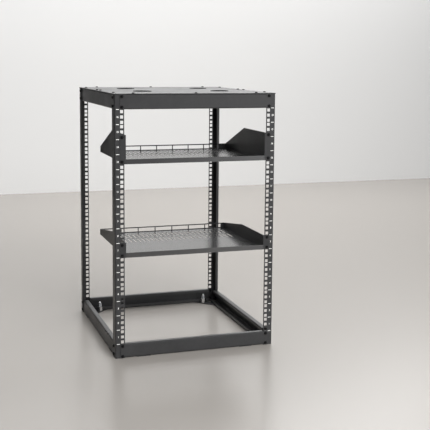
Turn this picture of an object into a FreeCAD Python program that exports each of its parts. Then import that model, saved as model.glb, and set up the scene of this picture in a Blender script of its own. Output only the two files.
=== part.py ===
import FreeCAD, Part

import os

import Sketcher
from FreeCAD import Placement, Rotation, Vector

# Four post open frame rack for nineteen inch equipment, with two trays hung on its front posts.
#
# Millimetres. +X is to the right seen from the front, +Y runs from the front to the back and
# +Z is up. The origin is the middle of the footprint, on the floor.
#
# Every length that can be chosen by itself is one cell of the sheet "dims". Each sub-part is
# drawn in a frame of its own and its placement, bound to the same cells, puts it in the rack.

DIMENSIONS = {
    # The grid that nineteen inch equipment bolts to.
    "rack_units": 18,
    "unit_height": 44.45,
    "hole_size": 9.5,
    "first_hole": 6.35,
    "hole_step": 15.875,
    "hole_inset": 7.55,
    "opening_width": 450.0,
    # The frame and its folded posts.
    "frame_depth": 570.0,
    "post_flange": 29.5,
    "post_sheet": 2.0,
    "post_side": 34.0,
    "post_lip": 9.5,
    "bend_radius": 2.0,
    # The folded beams that tie the posts together, and the holes for their bolts.
    "beam_sheet": 2.0,
    "beam_wide": 29.5,
    "beam_narrow": 18.0,
    "beam_lip": 11.0,
    "beam_play": 1.0,
    "bolt_hole": 6.5,
    "bolt_edge": 6.0,
    "side_bolt_inset": 22.0,
    "side_bolt_step": 25.4,
    # The top panel, and the plates in the bottom corners with a stud in each.
    "panel_sheet": 2.0,
    "cable_hole": 55.0,
    "cable_holes_across": 256.0,
    "cable_holes_along": 232.0,
    "gusset_leg": 110.0,
    "gusset_cut": 70.0,
    "stud_size": 10.0,
    "stud_rise": 38.0,
    "stud_from_side": 59.5,
    "stud_from_end": 38.0,
    "nut_width": 16.0,
    "nut_rise": 8.0,
    # The trays.
    "tray_sheet": 1.5,
    "tray_play": 3.0,
    "tray_tail": 19.0,
    "tray_lip": 15.0,
    "ear_side": 7.45,
    "ear_edge": 7.0,
    "ear_corner": 5.0,
    "window_count": 7,
    "window_bar": 3.0,
    "window_rail": 3.5,
    "slot_count": 27,
    "slot_width": 5.0,
    "slot_length": 62.0,
    "slot_margin": 25.5,
    "slot_row_step": 72.0,
    "slot_from_back": 64.0,
    "upper_tray_depth": 372.0,
    "upper_tray_shoulder": 188.0,
    "upper_window_margin": 26.0,
    "lower_tray_depth": 384.0,
    "lower_tray_shoulder": 195.0,
    "lower_window_margin": 12.0,
}

# The square holes that each tray's top and bottom bolts go through, counted down a front post
# from the first one below the top beam.
UPPER_TRAY_HOLES = (5, 10)
LOWER_TRAY_HOLES = (27, 29)
HOLES_PER_UNIT = 3
SLOT_ROWS = 2

doc = FreeCAD.newDocument("OpenFrameRack")
dims = doc.addObject("Spreadsheet::Sheet", "dims")
for row, (alias, value) in enumerate(DIMENSIONS.items(), start=1):
    dims.set(f"A{row}", alias)
    dims.set(f"B{row}", str(value))
    dims.setAlias(f"B{row}", alias)
doc.recompute()


# --- Sizes: a number together with the formula of sheet cells that it comes from ---


class Size:
    """A length worked out from the sheet. The text is bound to the model's properties."""

    def __init__(self, text, value):
        self.text = text
        self.value = value

    def __add__(self, other):
        return combine(self, "+", other, self.value + number(other))

    def __sub__(self, other):
        return combine(self, "-", other, self.value - number(other))

    def __mul__(self, other):
        return combine(self, "*", other, self.value * number(other))

    def __truediv__(self, other):
        return combine(self, "/", other, self.value / number(other))

    def __neg__(self):
        return Size(f"(0 - {self.text})", -self.value)


def number(operand):
    return operand.value if isinstance(operand, Size) else operand


def combine(left, sign, right, value):
    right_text = right.text if isinstance(right, Size) else str(right)
    return Size(f"({left.text} {sign} {right_text})", value)


def cell(alias):
    return Size(f"dims.{alias}", float(dims.get(alias)))


ZERO = Size("0", 0.0)

post_sheet = cell("post_sheet")
beam_sheet = cell("beam_sheet")
panel_sheet = cell("panel_sheet")
tray_sheet = cell("tray_sheet")
bend_radius = cell("bend_radius")
unit_height = cell("unit_height")
frame_height = cell("rack_units") * unit_height
post_flange = cell("post_flange")
post_side = cell("post_side")
half_opening = cell("opening_width") / 2
half_columns = half_opening + cell("hole_inset")
half_width = half_opening + post_flange
half_depth = cell("frame_depth") / 2
beam_play = cell("beam_play")
bolt_hole = cell("bolt_hole")


# --- Drawing: sketches on a body's own planes, and the features made from them ---


def origin_feature(body, role):
    return next(f for f in body.Origin.OriginFeatures if f.Role == role)


def new_body(label):
    body = doc.addObject("PartDesign::Body", label)
    body.Label = label
    return body


def new_sketch(body, role, lift=None):
    """A sketch on one of the body's own origin planes, lifted along the plane's normal."""
    sketch = body.newObject("Sketcher::SketchObject", f"{body.Label}_sketch")
    sketch.AttachmentSupport = [(origin_feature(body, role), "")]
    sketch.MapMode = "FlatFace"
    if lift is not None:
        sketch.setExpression("AttachmentOffset.Base.z", lift.text)
    return sketch


def fix_point(sketch, curve, end, x, y):
    """Dimension one point of a curve from the sketch's origin. None leaves that way free."""
    for kind, axis, size in (("DistanceX", -2, x), ("DistanceY", -1, y)):
        if size is None:
            continue
        if abs(size.value) < 1e-9:
            sketch.addConstraint(Sketcher.Constraint("PointOnObject", curve, end, axis))
            continue
        if size.value > 0:
            points, shown = (-1, 1, curve, end), size
        else:
            points, shown = (curve, end, -1, 1), -size
        index = sketch.addConstraint(Sketcher.Constraint(kind, *points, shown.value))
        sketch.setExpression(f"Constraints[{index}]", shown.text)


def draw_outline(sketch, corners):
    """A closed outline of straight edges. An edge that keeps its x or y is made upright or
    level, and each corner is dimensioned only where its edge brings a new x or y."""
    first = sketch.GeometryCount
    points = [Vector(x.value, y.value, 0) for x, y in corners]
    count = len(points)
    for i, point in enumerate(points):
        sketch.addGeometry(Part.LineSegment(point, points[(i + 1) % count]), False)
    for i in range(count):
        edge, following = first + i, first + (i + 1) % count
        sketch.addConstraint(Sketcher.Constraint("Coincident", edge, 2, following, 1))
    fix_point(sketch, first, 1, *corners[0])
    for i in range(1, count):
        before, here = corners[i - 1], corners[i]
        upright = before[0].text == here[0].text
        level = before[1].text == here[1].text
        if upright:
            sketch.addConstraint(Sketcher.Constraint("Vertical", first + i - 1))
        if level:
            sketch.addConstraint(Sketcher.Constraint("Horizontal", first + i - 1))
        fix_point(sketch, first + i, 1, None if upright else here[0], None if level else here[1])


def draw_rectangle(sketch, low_x, low_y, high_x, high_y):
    corners = [(low_x, low_y), (high_x, low_y), (high_x, high_y), (low_x, high_y)]
    draw_outline(sketch, corners)


def draw_square(sketch, x, y, side):
    draw_rectangle(sketch, x - side / 2, y - side / 2, x + side / 2, y + side / 2)


def draw_circle(sketch, x, y, diameter):
    circle = Part.Circle(Vector(x.value, y.value, 0), Vector(0, 0, 1), diameter.value / 2)
    curve = sketch.addGeometry(circle, False)
    fix_point(sketch, curve, 3, x, y)
    index = sketch.addConstraint(Sketcher.Constraint("Diameter", curve, diameter.value))
    sketch.setExpression(f"Constraints[{index}]", diameter.text)


def pad(body, sketch, length, side_type="One side", reverse=False):
    feature = body.newObject("PartDesign::Pad", f"{body.Label}_pad")
    feature.Profile = sketch
    feature.SideType = side_type
    feature.Reversed = reverse
    feature.setExpression("Length", length.text)
    sketch.Visibility = False
    doc.recompute()
    return feature


def pocket(body, sketch, depth, reverse=False):
    """Cut the sketch's outlines out of the body, and make sure that they did cut."""
    volume = body.Shape.Volume
    feature = body.newObject("PartDesign::Pocket", f"{body.Label}_pocket")
    feature.Profile = sketch
    feature.Reversed = reverse
    feature.setExpression("Length", depth.text)
    sketch.Visibility = False
    doc.recompute()
    if feature.Shape.Volume > volume - 1e-3:
        raise RuntimeError(f"{feature.Label} cuts nothing")
    return feature


def repeat(body, feature, axis, step, count):
    """Repeat a feature along one of the body's axes."""
    pattern = body.newObject("PartDesign::LinearPattern", f"{body.Label}_pattern")
    pattern.Originals = [feature]
    pattern.Direction = (origin_feature(body, axis), [""])
    pattern.Mode = "Spacing"
    pattern.setExpression("Offset", step.text)
    pattern.setExpression("Occurrences", count.text)
    body.Tip = pattern
    doc.recompute()
    return pattern


def round_edges(body, places, along, radius):
    """Round the straight edges that run along one axis through the given places.

    A place gives the two other coordinates, in X, Y, Z order."""
    base = body.Tip
    others = [i for i in range(3) if i != along]
    names = []
    for index, edge in enumerate(body.Shape.Edges, start=1):
        if len(edge.Vertexes) != 2:
            continue
        start, end = (vertex.Point for vertex in edge.Vertexes)
        if abs(start[along] - end[along]) < 1e-6:
            continue
        for place in places:
            wanted = [size.value for size in place]
            if all(abs(p[i] - w) < 1e-6 for p in (start, end) for i, w in zip(others, wanted)):
                names.append(f"Edge{index}")
    fillet = body.newObject("PartDesign::Fillet", f"{body.Label}_fillet")
    fillet.Base = (base, names)
    fillet.setExpression("Radius", radius.text)
    doc.recompute()
    return fillet


def place(piece, x, y, z, rotation=None):
    """Put a piece in the rack: turned by the rotation, with its own origin at x, y, z."""
    piece.Placement = Placement(Vector(x.value, y.value, z.value), rotation or Rotation())
    for name, size in zip("xyz", (x, y, z)):
        piece.setExpression(f"Placement.Base.{name}", size.text)
    sub_parts.append(piece)


sub_parts = []

X_TURN = Rotation(Vector(1, 0, 0), 180)
Y_TURN = Rotation(Vector(0, 1, 0), 180)
Z_TURN = Rotation(Vector(0, 0, 1), 180)

# The four corners: the side and end each lies on, and the turn that takes a piece drawn for the
# front left corner to it. The posts and corner plates are the same upside down.
CORNERS = {
    "front_left": (-half_width, -half_depth, Rotation(), False),
    "front_right": (half_width, -half_depth, Y_TURN, True),
    "rear_left": (-half_width, half_depth, X_TURN, True),
    "rear_right": (half_width, half_depth, Z_TURN, False),
}


# --- Posts ---


def make_post(label, has_lip):
    """A folded post: a flange with square holes to the front, and a side with or without a lip.

    Drawn for the front left corner, its outer corner on the origin and standing on z = 0."""
    body = new_body(label)
    lip = cell("post_lip")
    section = new_sketch(body, "XY_Plane")
    outline = [
        (ZERO, ZERO), (post_flange, ZERO), (post_flange, post_sheet), (post_sheet, post_sheet),
    ]
    outer_bends, inner_bends = [(ZERO, ZERO)], [(post_sheet, post_sheet)]
    if has_lip:
        inner_bends.append((post_sheet, post_side - post_sheet))
        outer_bends.append((ZERO, post_side))
        outline += [inner_bends[-1], (lip, post_side - post_sheet), (lip, post_side)]
    else:
        outline.append((post_sheet, post_side))
    draw_outline(section, outline + [(ZERO, post_side)])
    pad(body, section, frame_height)
    outer_radius = bend_radius + post_sheet
    round_edges(body, outer_bends, 2, outer_radius)
    round_edges(body, inner_bends, 2, bend_radius)

    # Three square holes a unit, repeated up the flange.
    holes = new_sketch(body, "XZ_Plane")
    for k in range(HOLES_PER_UNIT):
        height = cell("first_hole") + cell("hole_step") * k
        draw_square(holes, post_flange - cell("hole_inset"), height, cell("hole_size"))
    one_unit = pocket(body, holes, post_sheet)
    repeat(body, one_unit, "Z_Axis", unit_height, cell("rack_units"))

    # Square holes through the side for the necks of the side beams' bolts.
    side_holes = new_sketch(body, "YZ_Plane")
    half_step = cell("side_bolt_step") / 2
    for beam_middle in (unit_height / 2, frame_height - unit_height / 2):
        for height in (beam_middle - half_step, beam_middle + half_step):
            draw_square(side_holes, cell("side_bolt_inset"), height, bolt_hole)
    pocket(body, side_holes, post_sheet, reverse=True)

    # The lip stops short of both ends, where the side beams go in behind the side.
    if has_lip:
        notches = new_sketch(body, "YZ_Plane")
        notch = unit_height + beam_play
        for low, high in ((ZERO, notch), (frame_height - notch, frame_height)):
            draw_rectangle(notches, post_side - outer_radius, low, post_side, high)
        pocket(body, notches, lip, reverse=True)
    return body


for corner, (x, y, turn, upside_down) in CORNERS.items():
    post = make_post(f"{corner}_post", has_lip=corner.startswith("rear"))
    place(post, x, y, frame_height if upside_down else ZERO, turn)


# --- Beams ---



def make_beam(label, lift, channel_length, bolt_places, bolt_heights):
    """A folded channel with lips whose web runs on past its flanges, to be bolted to the posts.

    Drawn for the bottom of the frame: the web's outer face on y = 0, the wide flange on z = 0
    and the length along x, about the middle. It lies as far as the lift inside the ends of the
    posts, from which the bolts' heights are measured. bolt_places is the distance between the
    bolts of its two ends."""
    body = new_body(label)
    beam_height = unit_height - lift
    wide, narrow, lip = cell("beam_wide"), cell("beam_narrow"), cell("beam_lip")
    section = new_sketch(body, "YZ_Plane")
    draw_outline(section, [
        (ZERO, ZERO), (wide, ZERO), (wide, lip), (wide - beam_sheet, lip),
        (wide - beam_sheet, beam_sheet), (beam_sheet, beam_sheet),
        (beam_sheet, beam_height - beam_sheet), (narrow - beam_sheet, beam_height - beam_sheet),
        (narrow - beam_sheet, beam_height - lip), (narrow, beam_height - lip),
        (narrow, beam_height), (ZERO, beam_height),
    ])
    pad(body, section, channel_length, "Symmetric")
    inner_top = beam_height - beam_sheet
    round_edges(body, [(ZERO, ZERO), (wide, ZERO), (narrow, beam_height), (ZERO, beam_height)],
                0, bend_radius + beam_sheet)
    round_edges(body, [(beam_sheet, beam_sheet), (wide - beam_sheet, beam_sheet),
                       (narrow - beam_sheet, inner_top), (beam_sheet, inner_top)],
                0, bend_radius)

    # At both ends the web alone runs on.
    half_channel, half_web = channel_length / 2, bolt_places / 2 + cell("bolt_edge")
    web_ends = new_sketch(body, "XZ_Plane")
    draw_rectangle(web_ends, -half_web, ZERO, -half_channel, beam_height)
    draw_rectangle(web_ends, half_channel, ZERO, half_web, beam_height)
    pad(body, web_ends, beam_sheet, reverse=True)

    bolts = new_sketch(body, "XZ_Plane")
    for x in (-bolt_places / 2, bolt_places / 2):
        for z in bolt_heights:
            draw_square(bolts, x, z - lift, bolt_hole)
    pocket(body, bolts, beam_sheet)
    return body


def make_end_beam(label, lift):
    """A beam across the front or back, bolted over the square holes of the posts."""
    channel_length = (half_opening - beam_play) * 2
    lowest = cell("first_hole")
    heights = (lowest, lowest + cell("hole_step") * 2)
    return make_beam(label, lift, channel_length, half_columns * 2, heights)


def make_side_beam(label, lift):
    """A beam along one side, bolted to the posts' sides from within."""
    channel_length = cell("frame_depth") - (post_side + beam_play) * 2
    bolt_places = cell("frame_depth") - cell("side_bolt_inset") * 2
    half_step = cell("side_bolt_step") / 2
    heights = (unit_height / 2 - half_step, unit_height / 2 + half_step)
    return make_beam(label, lift, channel_length, bolt_places, heights)


# Each side of the frame: its beam, where the web's outer face lies and the turn about Z.
SIDES = {
    "front": (make_end_beam, ZERO, -half_depth - beam_sheet, 0),
    "rear": (make_end_beam, ZERO, half_depth + beam_sheet, 180),
    "left": (make_side_beam, post_sheet - half_width, ZERO, -90),
    "right": (make_side_beam, half_width - post_sheet, ZERO, 90),
}
for side, (make, x, y, degrees) in SIDES.items():
    turn = Rotation(Vector(0, 0, 1), degrees)
    place(make(f"bottom_{side}_beam", panel_sheet), x, y, panel_sheet, turn)
    place(make(f"top_{side}_beam", ZERO), x, y, frame_height, turn * Y_TURN)


# --- Top panel ---


def make_top_panel(label):
    """A plate over the posts and the top beams, with four round cable holes."""
    body = new_body(label)
    outer_y = half_depth + beam_sheet
    plate = new_sketch(body, "XY_Plane")
    draw_rectangle(plate, -half_width, -outer_y, half_width, outer_y)
    pad(body, plate, panel_sheet)
    holes = new_sketch(body, "XY_Plane")
    hole_x, hole_y = cell("cable_holes_across") / 2, cell("cable_holes_along") / 2
    for x in (-hole_x, hole_x):
        for y in (-hole_y, hole_y):
            draw_circle(holes, x, y, cell("cable_hole"))
    pocket(body, holes, panel_sheet, reverse=True)
    return body


place(make_top_panel("top_panel"), ZERO, ZERO, frame_height)


# --- Corner plates and their studs ---


def make_gusset(label):
    """A plate across a corner, under the two bottom beams and clear of the post."""
    body = new_body(label)
    leg, cut = cell("gusset_leg"), cell("gusset_cut")
    plate = new_sketch(body, "XY_Plane")
    draw_outline(plate, [(cut, ZERO), (leg, ZERO), (post_sheet, leg), (post_sheet, cut)])
    pad(body, plate, panel_sheet)
    return body


def make_stud(label):
    """A plain stud welded upright to its corner plate, with the nut that is run down on it."""
    stud = doc.addObject("Part::Cylinder", f"{label}_shank")
    stud.setExpression("Radius", (cell("stud_size") / 2).text)
    stud.setExpression("Height", cell("stud_rise").text)
    nut = doc.addObject("Part::Prism", f"{label}_nut")
    nut.Polygon = 6
    nut.setExpression("Circumradius", f"{cell('nut_width').text} / sqrt(3)")
    nut.setExpression("Height", cell("nut_rise").text)
    both = doc.addObject("Part::Fuse", label)
    both.Label = label
    both.Base = stud
    both.Tool = nut
    both.Refine = True
    return both


for corner, (x, y, turn, upside_down) in CORNERS.items():
    plate_z = panel_sheet if upside_down else ZERO
    place(make_gusset(f"{corner}_gusset"), x, y, plate_z, turn)
    from_side, from_end = cell("stud_from_side"), cell("stud_from_end")
    stud_x = x + from_side if x.value < 0 else x - from_side
    stud_y = y + from_end if y.value < 0 else y - from_end
    place(make_stud(f"{corner}_stud"), stud_x, stud_y, panel_sheet)


# --- Trays ---

half_tray = half_opening - cell("tray_play") - tray_sheet


def hole_height(index):
    """The height of a square hole, counted down from the first one below the top beam."""
    unit, step = divmod(index, HOLES_PER_UNIT)
    below = unit_height * (unit + 1) + cell("first_hole") + cell("hole_step") * step
    return frame_height - below


def make_tray(label, depth, window_margin):
    """A folded tray with slots to let air through, a lip in front and a pierced one behind.

    The front lip's face is on y = 0 and the tray's underside on z = 0. The windows in the back
    lip stay as far as the margin from its ends."""
    body = new_body(label)
    lip, tail = cell("tray_lip"), cell("tray_tail")
    section = new_sketch(body, "YZ_Plane")
    draw_outline(section, [
        (ZERO, ZERO), (depth, ZERO), (depth, tail), (depth - tray_sheet, tail),
        (depth - tray_sheet, tray_sheet), (tray_sheet, tray_sheet), (tray_sheet, lip),
        (ZERO, lip),
    ])
    pad(body, section, half_tray * 2, "Symmetric")

    # Rows of slots that run front to back: the leftmost slot of each row, repeated across.
    half_slot, count = cell("slot_width") / 2, cell("slot_count")
    first_x = cell("slot_margin") - half_tray
    pitch = -first_x * 2 / (count - 1)
    slots = new_sketch(body, "XY_Plane")
    for row in range(SLOT_ROWS):
        middle = depth - cell("slot_from_back") - cell("slot_row_step") * row
        low_y, high_y = middle - cell("slot_length") / 2, middle + cell("slot_length") / 2
        draw_rectangle(slots, first_x - half_slot, low_y, first_x + half_slot, high_y)
    one_column = pocket(body, slots, tray_sheet, reverse=True)
    repeat(body, one_column, "X_Axis", pitch, count)

    # A row of windows in the back lip.
    rail, bar = cell("window_rail"), cell("window_bar")
    left = window_margin - half_tray
    window_step = (bar - left * 2) / cell("window_count")
    window = new_sketch(body, "XZ_Plane", tray_sheet - depth)
    draw_rectangle(window, left, rail, left + window_step - bar, tail - rail)
    one_window = pocket(body, window, tray_sheet)
    repeat(body, one_window, "X_Axis", window_step, cell("window_count"))
    return body


def make_right_side(label, depth, shoulder, height):
    """A tray's right side, as high as its ear in front and sloping down behind.

    Its inner face is on x = 0, and the ear folds outwards in the plane of the tray's lip."""
    body = new_body(label)
    side = new_sketch(body, "YZ_Plane")
    draw_outline(side, [
        (ZERO, ZERO), (depth, ZERO), (depth, cell("tray_tail")), (shoulder, height),
        (ZERO, height),
    ])
    pad(body, side, tray_sheet)

    hole_x = half_columns - half_tray
    ear_length, edge = hole_x + cell("ear_side"), cell("ear_edge")
    ear = new_sketch(body, "XZ_Plane")
    draw_rectangle(ear, ZERO, ZERO, ear_length, height)
    pad(body, ear, tray_sheet, reverse=True)
    round_edges(body, [(ear_length, ZERO), (ear_length, height)], 1, cell("ear_corner"))

    holes = new_sketch(body, "XZ_Plane")
    for z in (edge, height - edge):
        draw_square(holes, hole_x, z, bolt_hole)
    pocket(body, holes, tray_sheet)
    return body


def mirror_to_left(label, right_side):
    left = doc.addObject("Part::Mirroring", label)
    left.Label = label
    left.Source = right_side
    left.Normal = Vector(1, 0, 0)
    sub_parts.append(left)


def add_tray(name, bolt_holes):
    """Hang a tray on the front posts by the two square holes at each side."""
    highest, lowest = (hole_height(index) for index in bolt_holes)
    edge = cell("ear_edge")
    height = highest - lowest + edge * 2
    depth = cell(f"{name}_tray_depth")
    y = -half_depth - tray_sheet
    z = lowest - edge
    tray = make_tray(f"{name}_tray", depth, cell(f"{name}_window_margin"))
    place(tray, ZERO, y, z)
    right = make_right_side(f"{name}_tray_right_side", depth,
                            cell(f"{name}_tray_shoulder"), height)
    place(right, half_tray, y, z)
    mirror_to_left(f"{name}_tray_left_side", right)


add_tray("upper", UPPER_TRAY_HOLES)
add_tray("lower", LOWER_TRAY_HOLES)


# --- Checks, and one file for each sub-part ---

doc.recompute()
for item in doc.Objects:
    if "Invalid" in item.State or "Error" in item.State:
        raise RuntimeError(f"{item.Label} did not compute: {item.State}")
for piece in sub_parts:
    if piece.Shape.isNull() or not piece.Shape.isValid():
        raise RuntimeError(f"{piece.Label} has no valid shape")

os.makedirs("parts", exist_ok=True)
for piece in sub_parts:
    piece.Shape.exportStep(f"parts/{piece.Label}.step")
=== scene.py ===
import math

import bmesh
import bpy
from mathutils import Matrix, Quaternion, Vector


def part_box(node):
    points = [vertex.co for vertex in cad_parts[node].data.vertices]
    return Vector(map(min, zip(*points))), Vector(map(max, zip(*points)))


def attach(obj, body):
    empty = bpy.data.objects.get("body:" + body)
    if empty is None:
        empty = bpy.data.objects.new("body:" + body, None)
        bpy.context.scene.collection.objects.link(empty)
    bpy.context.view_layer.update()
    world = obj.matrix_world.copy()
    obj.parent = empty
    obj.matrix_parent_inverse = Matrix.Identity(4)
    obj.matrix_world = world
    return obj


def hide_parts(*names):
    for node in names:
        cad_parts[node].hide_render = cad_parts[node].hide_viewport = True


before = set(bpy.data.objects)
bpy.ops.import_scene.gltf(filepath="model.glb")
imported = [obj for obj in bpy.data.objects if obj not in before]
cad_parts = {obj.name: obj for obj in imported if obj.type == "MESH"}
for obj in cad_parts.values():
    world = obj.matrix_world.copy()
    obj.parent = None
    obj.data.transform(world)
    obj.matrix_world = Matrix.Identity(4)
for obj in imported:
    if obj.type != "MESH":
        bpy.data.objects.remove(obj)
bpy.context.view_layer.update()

# ---------------------------------------------------------------------------------------------
# Posts. Four uprights folded from 2 mm steel sheet and punched with square holes in threes. The
# black powder baked on them dries with a fine orange peel and is a little duller in some places.


def powder_group():
    """The unevenness of a baked powder: its shade, its gloss and the height of its peel."""
    group = bpy.data.node_groups.new("baked_powder", "ShaderNodeTree")
    sockets = group.interface
    for name, kind, value in (
        ("Colour", "NodeSocketColor", (0.03, 0.03, 0.03, 1.0)),
        ("Gloss", "NodeSocketFloat", 0.35),
        ("Unevenness", "NodeSocketFloat", 1.0),
    ):
        sockets.new_socket(name=name, in_out="INPUT", socket_type=kind).default_value = value
    for name, kind in (
        ("Colour", "NodeSocketColor"),
        ("Roughness", "NodeSocketFloat"),
        ("Height", "NodeSocketFloat"),
    ):
        sockets.new_socket(name=name, in_out="OUTPUT", socket_type=kind)
    nodes, links = group.nodes, group.links
    given = nodes.new("NodeGroupInput")
    result = nodes.new("NodeGroupOutput")
    place = nodes.new("ShaderNodeTexCoord")

    def noise(scale, detail):
        """Clouds on the piece's own coordinates."""
        cloud = nodes.new("ShaderNodeTexNoise")
        cloud.inputs["Scale"].default_value = scale
        cloud.inputs["Detail"].default_value = detail
        links.new(place.outputs["Object"], cloud.inputs["Vector"])
        return cloud

    def math_node(operation, first, second):
        """One sum of two values, each of them a number or another node's output."""
        node = nodes.new("ShaderNodeMath")
        node.operation = operation
        for socket, value in zip(node.inputs, (first, second)):
            if isinstance(value, float):
                socket.default_value = value
            else:
                links.new(value, socket)
        return node.outputs["Value"]

    broad = noise(11.0, 4.0).outputs["Fac"]
    fine = noise(90.0, 3.0).outputs["Fac"]
    peel = noise(700.0, 2.0)

    swing = math_node("SUBTRACT", broad, 0.5)
    swing = math_node("MULTIPLY", swing, given.outputs["Unevenness"])
    speck = math_node("MULTIPLY", math_node("SUBTRACT", fine, 0.5), given.outputs["Unevenness"])
    shade = math_node("ADD", math_node("MULTIPLY", swing, 0.5), 1.0)
    shade = math_node("ADD", math_node("MULTIPLY", speck, 0.3), shade)
    tint = nodes.new("ShaderNodeVectorMath")
    tint.operation = "SCALE"
    links.new(given.outputs["Colour"], tint.inputs[0])
    links.new(shade, tint.inputs["Scale"])

    gloss = math_node("ADD", math_node("MULTIPLY", swing, 0.22), given.outputs["Gloss"])
    gloss = math_node("ADD", math_node("MULTIPLY", speck, 0.1), gloss)

    links.new(tint.outputs["Vector"], result.inputs["Colour"])
    links.new(gloss, result.inputs["Roughness"])
    links.new(peel.outputs["Fac"], result.inputs["Height"])
    return group


def finish(name, colour, gloss, peel_depth, metallic=0.0, sheen=0.5, unevenness=1.0):
    """A coated or plated surface: its colour, its roughness and the depth of its peel in metres."""
    material = bpy.data.materials.new(name)
    material.use_nodes = True
    nodes, links = material.node_tree.nodes, material.node_tree.links
    shader = nodes["Principled BSDF"]
    coat = nodes.new("ShaderNodeGroup")
    coat.node_tree = powder
    coat.inputs["Colour"].default_value = (*colour, 1.0)
    coat.inputs["Gloss"].default_value = gloss
    coat.inputs["Unevenness"].default_value = unevenness
    bump = nodes.new("ShaderNodeBump")
    bump.inputs["Strength"].default_value = 0.3
    bump.inputs["Distance"].default_value = peel_depth
    links.new(coat.outputs["Colour"], shader.inputs["Base Color"])
    links.new(coat.outputs["Roughness"], shader.inputs["Roughness"])
    links.new(coat.outputs["Height"], bump.inputs["Height"])
    links.new(bump.outputs["Normal"], shader.inputs["Normal"])
    shader.inputs["Metallic"].default_value = metallic
    shader.inputs["Specular IOR Level"].default_value = sheen
    return material


def coat_nodes(ending, material):
    """Give a finish to the frame's own parts whose names end so."""
    for name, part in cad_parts.items():
        if name.endswith(ending):
            for spot in part.material_slots:
                spot.material = material


powder = powder_group()
post_coat = finish("satin_black_posts", (0.035, 0.035, 0.036), 0.36, 0.00004, sheen=0.35)
coat_nodes("_post", post_coat)
post_low, post_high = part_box("front_left_post")
post_face = post_low.y
post_edge = -post_high.x

# ---------------------------------------------------------------------------------------------
# Printed marks. White ink is stamped on the faces of the two front posts: a dash at the foot of
# every unit of 44.45 mm, and between the dashes a plain number, counted from the bottom.

unit = 0.04445
units = round((post_high.z - post_low.z) / unit)
dash_long, dash_high, ink_thick = 0.0094, 0.0016, 0.00008
dash_middle = 0.2453
number_high, number_narrow = 0.0055, 0.86
capital_share = 0.71  # height of a digit in the plain letter face, as a share of its size
ink_spread, dash_rounding = 0.00022, 0.3


def deselect():
    """Leave edit mode and clear the selection, so that an operator acts on one piece alone."""
    if bpy.context.object and bpy.context.object.mode != "OBJECT":
        bpy.ops.object.mode_set(mode="OBJECT")
    bpy.ops.object.select_all(action="DESELECT")


def hold(*pieces):
    """Select these pieces alone and make the first the active one."""
    deselect()
    for piece in pieces:
        piece.select_set(True)
    bpy.context.view_layer.objects.active = pieces[0]


def pick_faces(piece, wanted):
    """Open a piece in edit mode with only the faces selected that the rule wants."""
    hold(piece)
    bpy.ops.object.mode_set(mode="EDIT")
    bpy.ops.mesh.select_mode(type="FACE")
    bpy.ops.mesh.select_all(action="DESELECT")
    work = bmesh.from_edit_mesh(piece.data)
    work.normal_update()
    for face in work.faces:
        face.select_set(wanted(face))
    bmesh.update_edit_mesh(piece.data)


def close_up():
    """Merge the doubles of the piece in edit mode, turn its faces outwards and leave edit mode."""
    bpy.ops.mesh.select_all(action="SELECT")
    bpy.ops.mesh.remove_doubles(threshold=1e-6)
    bpy.ops.mesh.normals_make_consistent(inside=False)
    bpy.ops.object.mode_set(mode="OBJECT")


def join(name, pieces):
    """Make one piece of several."""
    hold(*pieces)
    bpy.ops.object.join()
    piece = bpy.context.object
    piece.name = name
    bpy.ops.object.transform_apply(location=True, rotation=True, scale=True)
    return piece


def cover(piece, material):
    """Make this the only material of a piece."""
    piece.data.materials.clear()
    piece.data.materials.append(material)


def stamped_number(text, middle, height):
    """A number in thin ink on the post's face, centred on this place."""
    bpy.ops.object.text_add(location=(0, 0, 0))
    number = bpy.context.object
    number.data.body = text
    number.data.align_x = "CENTER"
    number.data.align_y = "CENTER"
    number.data.size = number_high / capital_share
    number.data.extrude = ink_thick / 2
    number.data.offset = ink_spread
    number.data.resolution_u = 3
    bpy.ops.object.convert(target="MESH")
    number.location = (middle, post_face - ink_thick / 2, height)
    number.rotation_euler = (math.pi / 2, 0, 0)
    number.scale = (number_narrow, 1, 1)
    bpy.ops.object.transform_apply(location=True, rotation=True, scale=True)
    pick_faces(number, lambda face: True)
    close_up()
    return number


def stamped_dash(middle, height):
    """A dash in thin ink on the post's face, with rounded ends."""
    bpy.ops.mesh.primitive_cube_add(size=1, location=(0, 0, 0))
    dash = bpy.context.object
    dash.scale = (dash_long, ink_thick, dash_high)
    bpy.ops.object.transform_apply(location=False, rotation=False, scale=True)
    pick_faces(dash, lambda face: abs(face.normal.x) > 0.9)
    bpy.ops.mesh.bevel(offset=dash_high * dash_rounding, segments=2, affect="EDGES")
    close_up()
    dash.location = (middle, post_face - ink_thick / 2, height)
    bpy.ops.object.transform_apply(location=True, rotation=False, scale=False)
    return dash


white_ink = finish("white_ink", (0.84, 0.84, 0.82), 0.5, 0.00002, unevenness=0.25)
deselect()
for side, turn in (("left", -1), ("right", 1)):
    marks = [stamped_dash(turn * dash_middle, unit * k) for k in range(1, units)]
    for k in range(1, units - 1):
        marks.append(stamped_number(str(k), turn * dash_middle, unit * (k + 0.5)))
    marks = join(f"front_{side}_marks", marks)
    cover(marks, white_ink)
    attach(marks, "root")

# ---------------------------------------------------------------------------------------------
# Beams. Eight channels folded from the same sheet. The end beams lie over the posts' faces and
# the side beams are tucked inside the posts' sides, their webs running on past their flanges.

beam_coat = finish("satin_black_beams", (0.036, 0.036, 0.037), 0.33, 0.00004, sheen=0.35)
coat_nodes("_beam", beam_coat)

# ---------------------------------------------------------------------------------------------
# Frame bolts. Black M6 button heads with a hexagon socket, two at each end of each beam, through
# the beam and the post, with a hexagon nut drawn up against the sheet behind.

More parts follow.
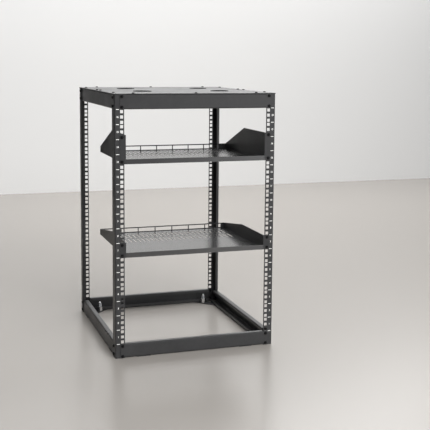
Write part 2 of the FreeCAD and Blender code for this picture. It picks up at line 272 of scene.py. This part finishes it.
head_wide, head_rise, shank_wide = 0.0098, 0.0032, 0.006
socket_across, socket_deep = 0.004, 0.0019
nut_across, nut_high = 0.010, 0.005
sheets_gripped, shank_past_nut = 0.004, 0.002
bolt_in_from_edge = 0.00755
end_bolt_drop = (0.00635, 0.0381)
side_bolt_in, side_bolt_drop = 0.022, (0.009525, 0.034925)
shank_chamfer, dome_share, dome_profile = 0.0006, 0.7, 0.55
nut_face_share = 0.48  # radius of a nut's flat end, as a share of its width across
sixth = math.pi / 6
smooth_under = math.radians(35)


def cut_with(piece, tool, operation):
    """Cut a piece by a tool shape, which is then thrown away."""
    hold(piece)
    cut = piece.modifiers.new("cut", "BOOLEAN")
    cut.object = tool
    cut.operation = operation
    cut.solver = "EXACT"
    bpy.ops.object.modifier_apply(modifier=cut.name)
    bpy.data.objects.remove(tool)


def bar(corners, radius, depth, middle):
    """A round or many-sided bar that stands on the axis, with its middle at this height."""
    bpy.ops.mesh.primitive_cylinder_add(
        vertices=corners, radius=radius, depth=depth, location=(0, 0, middle)
    )
    bpy.ops.object.transform_apply(location=True, rotation=False, scale=False)
    return bpy.context.object


def button_screw(name, wide, rise, length):
    """A domed head standing on z = 0 with a socket in it, and the shank below it."""
    screw = bar(32, wide / 2, rise, rise / 2)
    screw.name = name
    pick_faces(screw, lambda face: face.normal.z > 0.9)
    bpy.ops.mesh.bevel(
        offset=rise * dome_share, segments=5, profile=dome_profile, affect="EDGES"
    )
    pick_faces(screw, lambda face: face.normal.z < -0.9)
    bpy.ops.mesh.inset(thickness=(wide - shank_wide) / 2)
    bpy.ops.mesh.extrude_region_move(TRANSFORM_OT_translate={"value": (0, 0, -length)})
    bpy.ops.mesh.bevel(offset=shank_chamfer, segments=1, affect="EDGES")
    close_up()
    socket = bar(6, socket_across / 2 / math.cos(sixth), 2 * socket_deep, rise)
    cut_with(screw, socket, "DIFFERENCE")
    return screw


def hexagon_nut(name, across, high, top):
    """A hexagon nut with its corners chamfered as they are on a lathe, its top at this height."""
    corner = across / 2 / math.cos(sixth)
    nut = bar(6, corner, high, top - high / 2)
    nut.name = name
    turned = corner * 1.004  # the round blank is a hair wider than the nut's corners
    blank = bar(48, turned, high, top - high / 2)
    pick_faces(blank, lambda face: abs(face.normal.z) > 0.9)
    bpy.ops.mesh.bevel(offset=turned - across * nut_face_share, segments=1, affect="EDGES")
    close_up()
    cut_with(nut, blank, "INTERSECT")
    return nut


def set_down(model, name, place, outward, turn=0.0):
    """A copy of a model with its own mesh, its axis turned from straight up to point outwards."""
    hold(model)
    bpy.ops.object.duplicate(linked=False)
    copy = bpy.context.object
    copy.name = name
    aim = Vector(outward).to_track_quat("Z", "Y") @ Quaternion((0, 0, 1), turn)
    copy.rotation_euler = aim.to_euler()
    copy.location = place
    bpy.ops.object.transform_apply(location=True, rotation=True, scale=True)
    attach(copy, "root")
    return copy


def dress(model, material, slot):
    """Give a model its finish and its slot, and shade its curved faces smooth."""
    cover(model, material)
    model["slot"] = slot
    hold(model)
    bpy.ops.object.shade_smooth_by_angle(angle=smooth_under)


def throw_away(model):
    """Remove a model once its copies are in place."""
    bpy.data.meshes.remove(model.data)


bolt_black = finish(
    "black_oxide_bolts", (0.006, 0.006, 0.0065), 0.42, 0.00001, sheen=0.25, unevenness=0.6
)
deselect()
bolt = button_screw(
    "bolt_model", head_wide, head_rise, sheets_gripped + nut_high + shank_past_nut
)
nut = hexagon_nut("nut_model", nut_across, nut_high, -sheets_gripped)
bolt = join("bolt_model", [bolt, nut])
dress(bolt, bolt_black, "black_powder_coat")

beam_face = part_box("bottom_front_beam")[0].y
hole_column = post_edge + bolt_in_from_edge
# The bolts are turned to odd angles, as they stand once they are drawn tight.
for level in ("bottom", "top"):
    for end, way in (("front", -1), ("rear", 1)):
        for side, hand in (("left", -1), ("right", 1)):
            for k, drop in enumerate(end_bolt_drop):
                height = drop if level == "bottom" else post_high.z - drop
                set_down(
                    bolt,
                    f"{level}_{end}_beam_{side}_bolt_{k + 1}",
                    (hand * hole_column, way * -beam_face, height),
                    (0, way, 0),
                    turn=0.9 * k + 0.4 * hand,
                )
            for k, drop in enumerate(side_bolt_drop):
                height = drop if level == "bottom" else post_high.z - drop
                set_down(
                    bolt,
                    f"{level}_{side}_beam_{end}_bolt_{k + 1}",
                    (hand * -post_low.x, way * (-post_face - side_bolt_in), height),
                    (hand, 0, 0),
                    turn=0.7 * k + 0.3 * way,
                )
throw_away(bolt)

# ---------------------------------------------------------------------------------------------
# Corner plates and studs. A plate with a cut corner closes each bottom corner of the frame. A
# bright zinc stud with a rounded end stands on each, held by a tall hexagon nut.

plate_coat = finish("satin_black_plates", (0.032, 0.032, 0.033), 0.48, 0.000004)
coat_nodes("_gusset", plate_coat)
zinc = finish(
    "bright_zinc_plate", (0.86, 0.87, 0.88), 0.26, 0.00002, metallic=1.0, unevenness=0.7
)
thread_wide, thread_pitch, thread_deep = 0.012, 0.00175, 0.0009
stud_top, stud_nut_top, stud_nut_across = 0.035, 0.0185, 0.016


def threaded_stud(bottom, top):
    """Half the outline of a threaded stud with a rounded end, spun round its axis."""
    radius = thread_wide / 2
    core = radius - thread_deep
    outline = [(0.0, bottom), (core, bottom)]
    height = bottom + thread_pitch / 2
    while height + thread_pitch < top - radius * 0.7:
        outline += [(core, height), (radius, height + thread_pitch / 2)]
        height += thread_pitch
    for step in range(6):
        lean = step * math.pi / 12
        outline.append((core * math.cos(lean), height + (top - height) * math.sin(lean)))
    outline.append((0.0, top))
    bpy.ops.mesh.primitive_plane_add(size=1, location=(0, 0, 0))
    stud = bpy.context.object
    bpy.ops.object.mode_set(mode="EDIT")
    bpy.ops.mesh.select_mode(type="VERT")
    bpy.ops.mesh.select_all(action="SELECT")
    bpy.ops.mesh.merge(type="CENTER")
    bpy.ops.transform.translate(value=(outline[0][0], 0, outline[0][1]))
    for (x, z), (next_x, next_z) in zip(outline, outline[1:]):
        step = (next_x - x, 0, next_z - z)
        bpy.ops.mesh.extrude_region_move(TRANSFORM_OT_translate={"value": step})
    bpy.ops.mesh.select_all(action="SELECT")
    bpy.ops.mesh.spin(steps=28, angle=2 * math.pi, center=(0, 0, 0), axis=(0, 0, 1))
    close_up()
    return stud


deselect()
plate_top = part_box("front_left_stud")[0].z
stud = threaded_stud(plate_top, stud_top)
stud_nut = hexagon_nut("stud_nut", stud_nut_across, stud_nut_top - plate_top, stud_nut_top)
stud = join("stud_model", [stud, stud_nut])
dress(stud, zinc, "bright_zinc")
for corner in ("front_left", "front_right", "rear_left", "rear_right"):
    low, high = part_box(f"{corner}_stud")
    middle = (low + high) / 2
    fitted = set_down(
        stud, f"{corner}_threaded_stud", (middle.x, middle.y, 0), (0, 0, 1), turn=middle.x
    )
    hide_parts(f"{corner}_stud")
throw_away(stud)

# ---------------------------------------------------------------------------------------------
# Top panel. A flat sheet with four round cable holes lies on the posts and the top beams, held
# down along its four edges by small black button screws.

coat_nodes("top_panel", plate_coat)
panel_head_wide, panel_head_rise, panel_screw_long = 0.0086, 0.0028, 0.008
panel_edge_in, panel_rows = 0.0115, (-0.22, -0.027, 0.027, 0.22)
panel_end_in, panel_columns = 0.014, (-0.195, 0.0, 0.195)

deselect()
panel_screw = button_screw("panel_screw_model", panel_head_wide, panel_head_rise, panel_screw_long)
dress(panel_screw, bolt_black, "black_powder_coat")
panel_low, panel_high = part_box("top_panel")
spots = [
    (hand * (panel_high.x - panel_edge_in), y) for hand in (-1, 1) for y in panel_rows
] + [(x, way * (panel_high.y - panel_end_in)) for way in (-1, 1) for x in panel_columns]
for k, (x, y) in enumerate(spots):
    set_down(
        panel_screw, f"panel_screw_{k + 1}", (x, y, panel_high.z), (0, 0, 1), turn=0.5 * k
    )
throw_away(panel_screw)

# ---------------------------------------------------------------------------------------------
# Edge trims. A black rubber strip with a groove in it is pushed on the rim of each cable hole,
# so that the cables don't rub on bare sheet.

hole_round, hole_x, hole_y = 0.0275, 0.128, 0.116
trim_thick, trim_over, trim_rounding = 0.0017, 0.0018, 0.0009
sheet_middle = (panel_low.z + panel_high.z) / 2


def edge_trim():
    """A ring with rounded edges, wider than the hole outside and narrower inside."""
    tall = panel_high.z - panel_low.z + 2 * trim_over
    ring = bar(64, hole_round + trim_thick, tall, 0)
    ring.name = "edge_trim_model"
    cut_with(ring, bar(64, hole_round - trim_thick, 2 * tall, 0), "DIFFERENCE")
    pick_faces(ring, lambda face: abs(face.normal.z) > 0.9)
    bpy.ops.mesh.bevel(offset=trim_rounding, segments=3, affect="EDGES")
    close_up()
    return ring


rubber = finish("black_rubber", (0.012, 0.012, 0.012), 0.75, 0.00002, sheen=0.2)
deselect()
trim = edge_trim()
dress(trim, rubber, "black_powder_coat")
for end, way in (("front", -1), ("rear", 1)):
    for side, hand in (("left", -1), ("right", 1)):
        middle = (hand * hole_x, way * hole_y, sheet_middle)
        set_down(trim, f"{end}_{side}_edge_trim", middle, (0, 0, 1))
throw_away(trim)

# ---------------------------------------------------------------------------------------------
# Trays. Two vented trays of thinner sheet, each hung by the ears of its two sides on the front
# posts. An ear takes two black screws, which run into zinc cage nuts clipped in the posts' holes.

tray_coat = finish(
    "satin_black_trays", (0.034, 0.034, 0.035), 0.2, 0.000002, sheen=1.0, unevenness=0.5
)
coat_nodes("_tray", tray_coat)
# The trays' upright sides take a darker, duller copy of the same coat as the trays' plates. Their
# darker colour and weaker reflection are painted shade.
painted_shade_side_coat = finish("satin_black_tray_sides_painted_shade", (0.03, 0.03, 0.031), 0.36, 0.00002, sheen=0.35)
coat_nodes("_side", painted_shade_side_coat)
cage_wide, cage_high, cage_deep, strip = 0.0125, 0.0100, 0.0062, 0.0007
square_nut, square_nut_deep, nut_rounding, cage_bend = 0.0105, 0.0048, 0.0008, 0.0012
ear_and_post, ear_screw_in, screw_past_cage = 0.0035, 0.007, 0.004


def block(size, place):
    """A plain block of this size with its middle at this place."""
    bpy.ops.mesh.primitive_cube_add(size=1, location=(0, 0, 0))
    piece = bpy.context.object
    piece.scale = size
    bpy.ops.object.transform_apply(location=False, rotation=False, scale=True)
    piece.location = place
    bpy.ops.object.transform_apply(location=True, rotation=False, scale=False)
    return piece


def cage_nut(top):
    """A square nut held loosely in a spring steel strip that is bent round three of its sides."""
    nut = block((square_nut, square_nut, square_nut_deep), (0, 0, top - square_nut_deep / 2))
    pick_faces(nut, lambda face: True)
    bpy.ops.mesh.bevel(offset=nut_rounding, segments=2, affect="EDGES")
    close_up()
    cage = block((cage_wide, cage_high, cage_deep), (0, 0, top - cage_deep / 2))
    pick_faces(cage, lambda face: face.normal.z < -0.9)
    bpy.ops.mesh.bevel(offset=cage_bend, segments=3, affect="EDGES")
    close_up()
    inside = block(
        (cage_wide - 2 * strip, cage_high * 1.2, cage_deep),
        (0, 0, top - cage_deep / 2 + strip),
    )
    cut_with(cage, inside, "DIFFERENCE")
    return join("cage_nut_model", [nut, cage])


deselect()
ear_screw = button_screw(
    "ear_screw_model", head_wide, head_rise, ear_and_post + cage_deep + screw_past_cage
)
dress(ear_screw, bolt_black, "black_powder_coat")
caged = cage_nut(0.0)
dress(caged, zinc, "bright_zinc")
for tray in ("upper_tray", "lower_tray"):
    for side, hand in (("left", -1), ("right", 1)):
        low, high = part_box(f"{tray}_{side}_side")
        for k, height in enumerate((low.z + ear_screw_in, high.z - ear_screw_in)):
            name = f"{tray}_{side}_ear"
            at = (hand * hole_column, low.y, height)
            set_down(ear_screw, f"{name}_screw_{k + 1}", at, (0, -1, 0), turn=0.8 * k + hand)
            behind = (at[0], low.y + ear_and_post, height)
            set_down(caged, f"{name}_cage_nut_{k + 1}", behind, (0, -1, 0))
throw_away(ear_screw)
throw_away(caged)

# ---------------------------------------------------------------------------------------------
# Room. A pale polished floor and a pale wall behind the rack, lit by large soft lamps. Two dark
# screens that the camera doesn't see, one to the left and one behind on the left, keep the left
# sides of the posts black.


def room_plane(name, size, place, turn, colour, roughness):
    """A flat face of the room in one plain colour."""
    bpy.ops.mesh.primitive_plane_add(size=1, location=place, rotation=turn)
    plane = bpy.context.object
    plane.name = name
    plane.scale = (*size, 1)
    bpy.ops.object.transform_apply(location=False, rotation=False, scale=True)
    paint = bpy.data.materials.new(name)
    paint.use_nodes = True
    shader = paint.node_tree.nodes["Principled BSDF"]
    shader.inputs["Base Color"].default_value = (*colour, 1)
    shader.inputs["Roughness"].default_value = roughness
    plane.data.materials.append(paint)
    return plane


flat, upright, sideways = (0, 0, 0), (math.pi / 2, 0, 0), (math.pi / 2, 0, math.pi / 2)
stone, plaster, black = (0.36, 0.336, 0.31), (0.8, 0.8, 0.795), (0.02, 0.02, 0.02)
polished, dull = 0.27, 0.9
deselect()
floor = room_plane("room_floor", (30, 30), (0, 0, 0), flat, stone, polished)
wall = room_plane("room_wall", (30, 12), (0, 3.2, 3), upright, plaster, dull)
back_screen = room_plane("dark_back_screen", (4, 3), (-2.8, 3.1, 1.5), upright, black, dull)
side_screen = room_plane("dark_side_screen", (6, 3), (-3.2, 0.4, 1.5), sideways, black, dull)
for screen in (back_screen, side_screen):
    screen.visible_camera = False

world = bpy.data.worlds.new("room_air")
bpy.context.scene.world = world
world.use_nodes = True
air_colour, air_as_light, air_as_seen = (0.96, 0.98, 1.0, 1), 0.24, 0.55
air = world.node_tree.nodes["Background"]
air.inputs["Color"].default_value = air_colour
seen = world.node_tree.nodes.new("ShaderNodeLightPath")
brightness = world.node_tree.nodes.new("ShaderNodeMapRange")
brightness.inputs["To Min"].default_value = air_as_light
brightness.inputs["To Max"].default_value = air_as_seen
world.node_tree.links.new(seen.outputs["Is Camera Ray"], brightness.inputs["Value"])
world.node_tree.links.new(brightness.outputs["Result"], air.inputs["Strength"])


def softbox(name, place, aim, size, power):
    """A lamp behind a white cloth of this size, aimed at a place, its power in watts."""
    bpy.ops.object.light_add(type="AREA", location=place)
    lamp = bpy.context.object
    lamp.name = name
    lamp.data.shape = "RECTANGLE"
    lamp.data.size, lamp.data.size_y = size
    lamp.data.energy = power
    lamp.visible_camera = False
    lamp.rotation_euler = (Vector(aim) - Vector(place)).to_track_quat("-Z", "Y").to_euler()
    return lamp


softbox("ceiling_light", (0.6, -0.3, 4.2), (0.6, -0.3, 0), (6.0, 6.0), 50)
front = softbox("front_light", (0.6, -4.2, 2.6), (0, -0.28, 0.3), (3.6, 2.0), 78)
front.visible_glossy = False
front.data.spread = math.radians(90)
softbox("low_light", (2.3, -4.0, 0.75), (0.2, -0.28, 0.3), (2.2, 1.1), 17)
softbox("wall_light", (0.8, 2.3, 3.4), (0.8, 3.2, 1.2), (5.0, 0.6), 85)
softbox("back_light", (0.6, 3.15, 2.1), (0.3, 0, 0.5), (5.0, 1.6), 75)

# ---------------------------------------------------------------------------------------------
# Camera. It stands a little to the left of the rack's front and above its top, with a long lens
# that is tilted seven degrees down and shifted so that the posts stay nearly upright.

bpy.ops.object.camera_add(
    location=(-0.8313, -2.9367, 0.9103),
    rotation=(math.radians(83.011), math.radians(-0.482), math.radians(-18.491)),
)
camera = bpy.context.object
camera.name = "camera"
camera.data.sensor_width = 36
camera.data.lens = 77.0
camera.data.shift_y = -0.1047
bpy.context.scene.camera = camera
bpy.context.scene.view_settings.view_transform = "Standard"
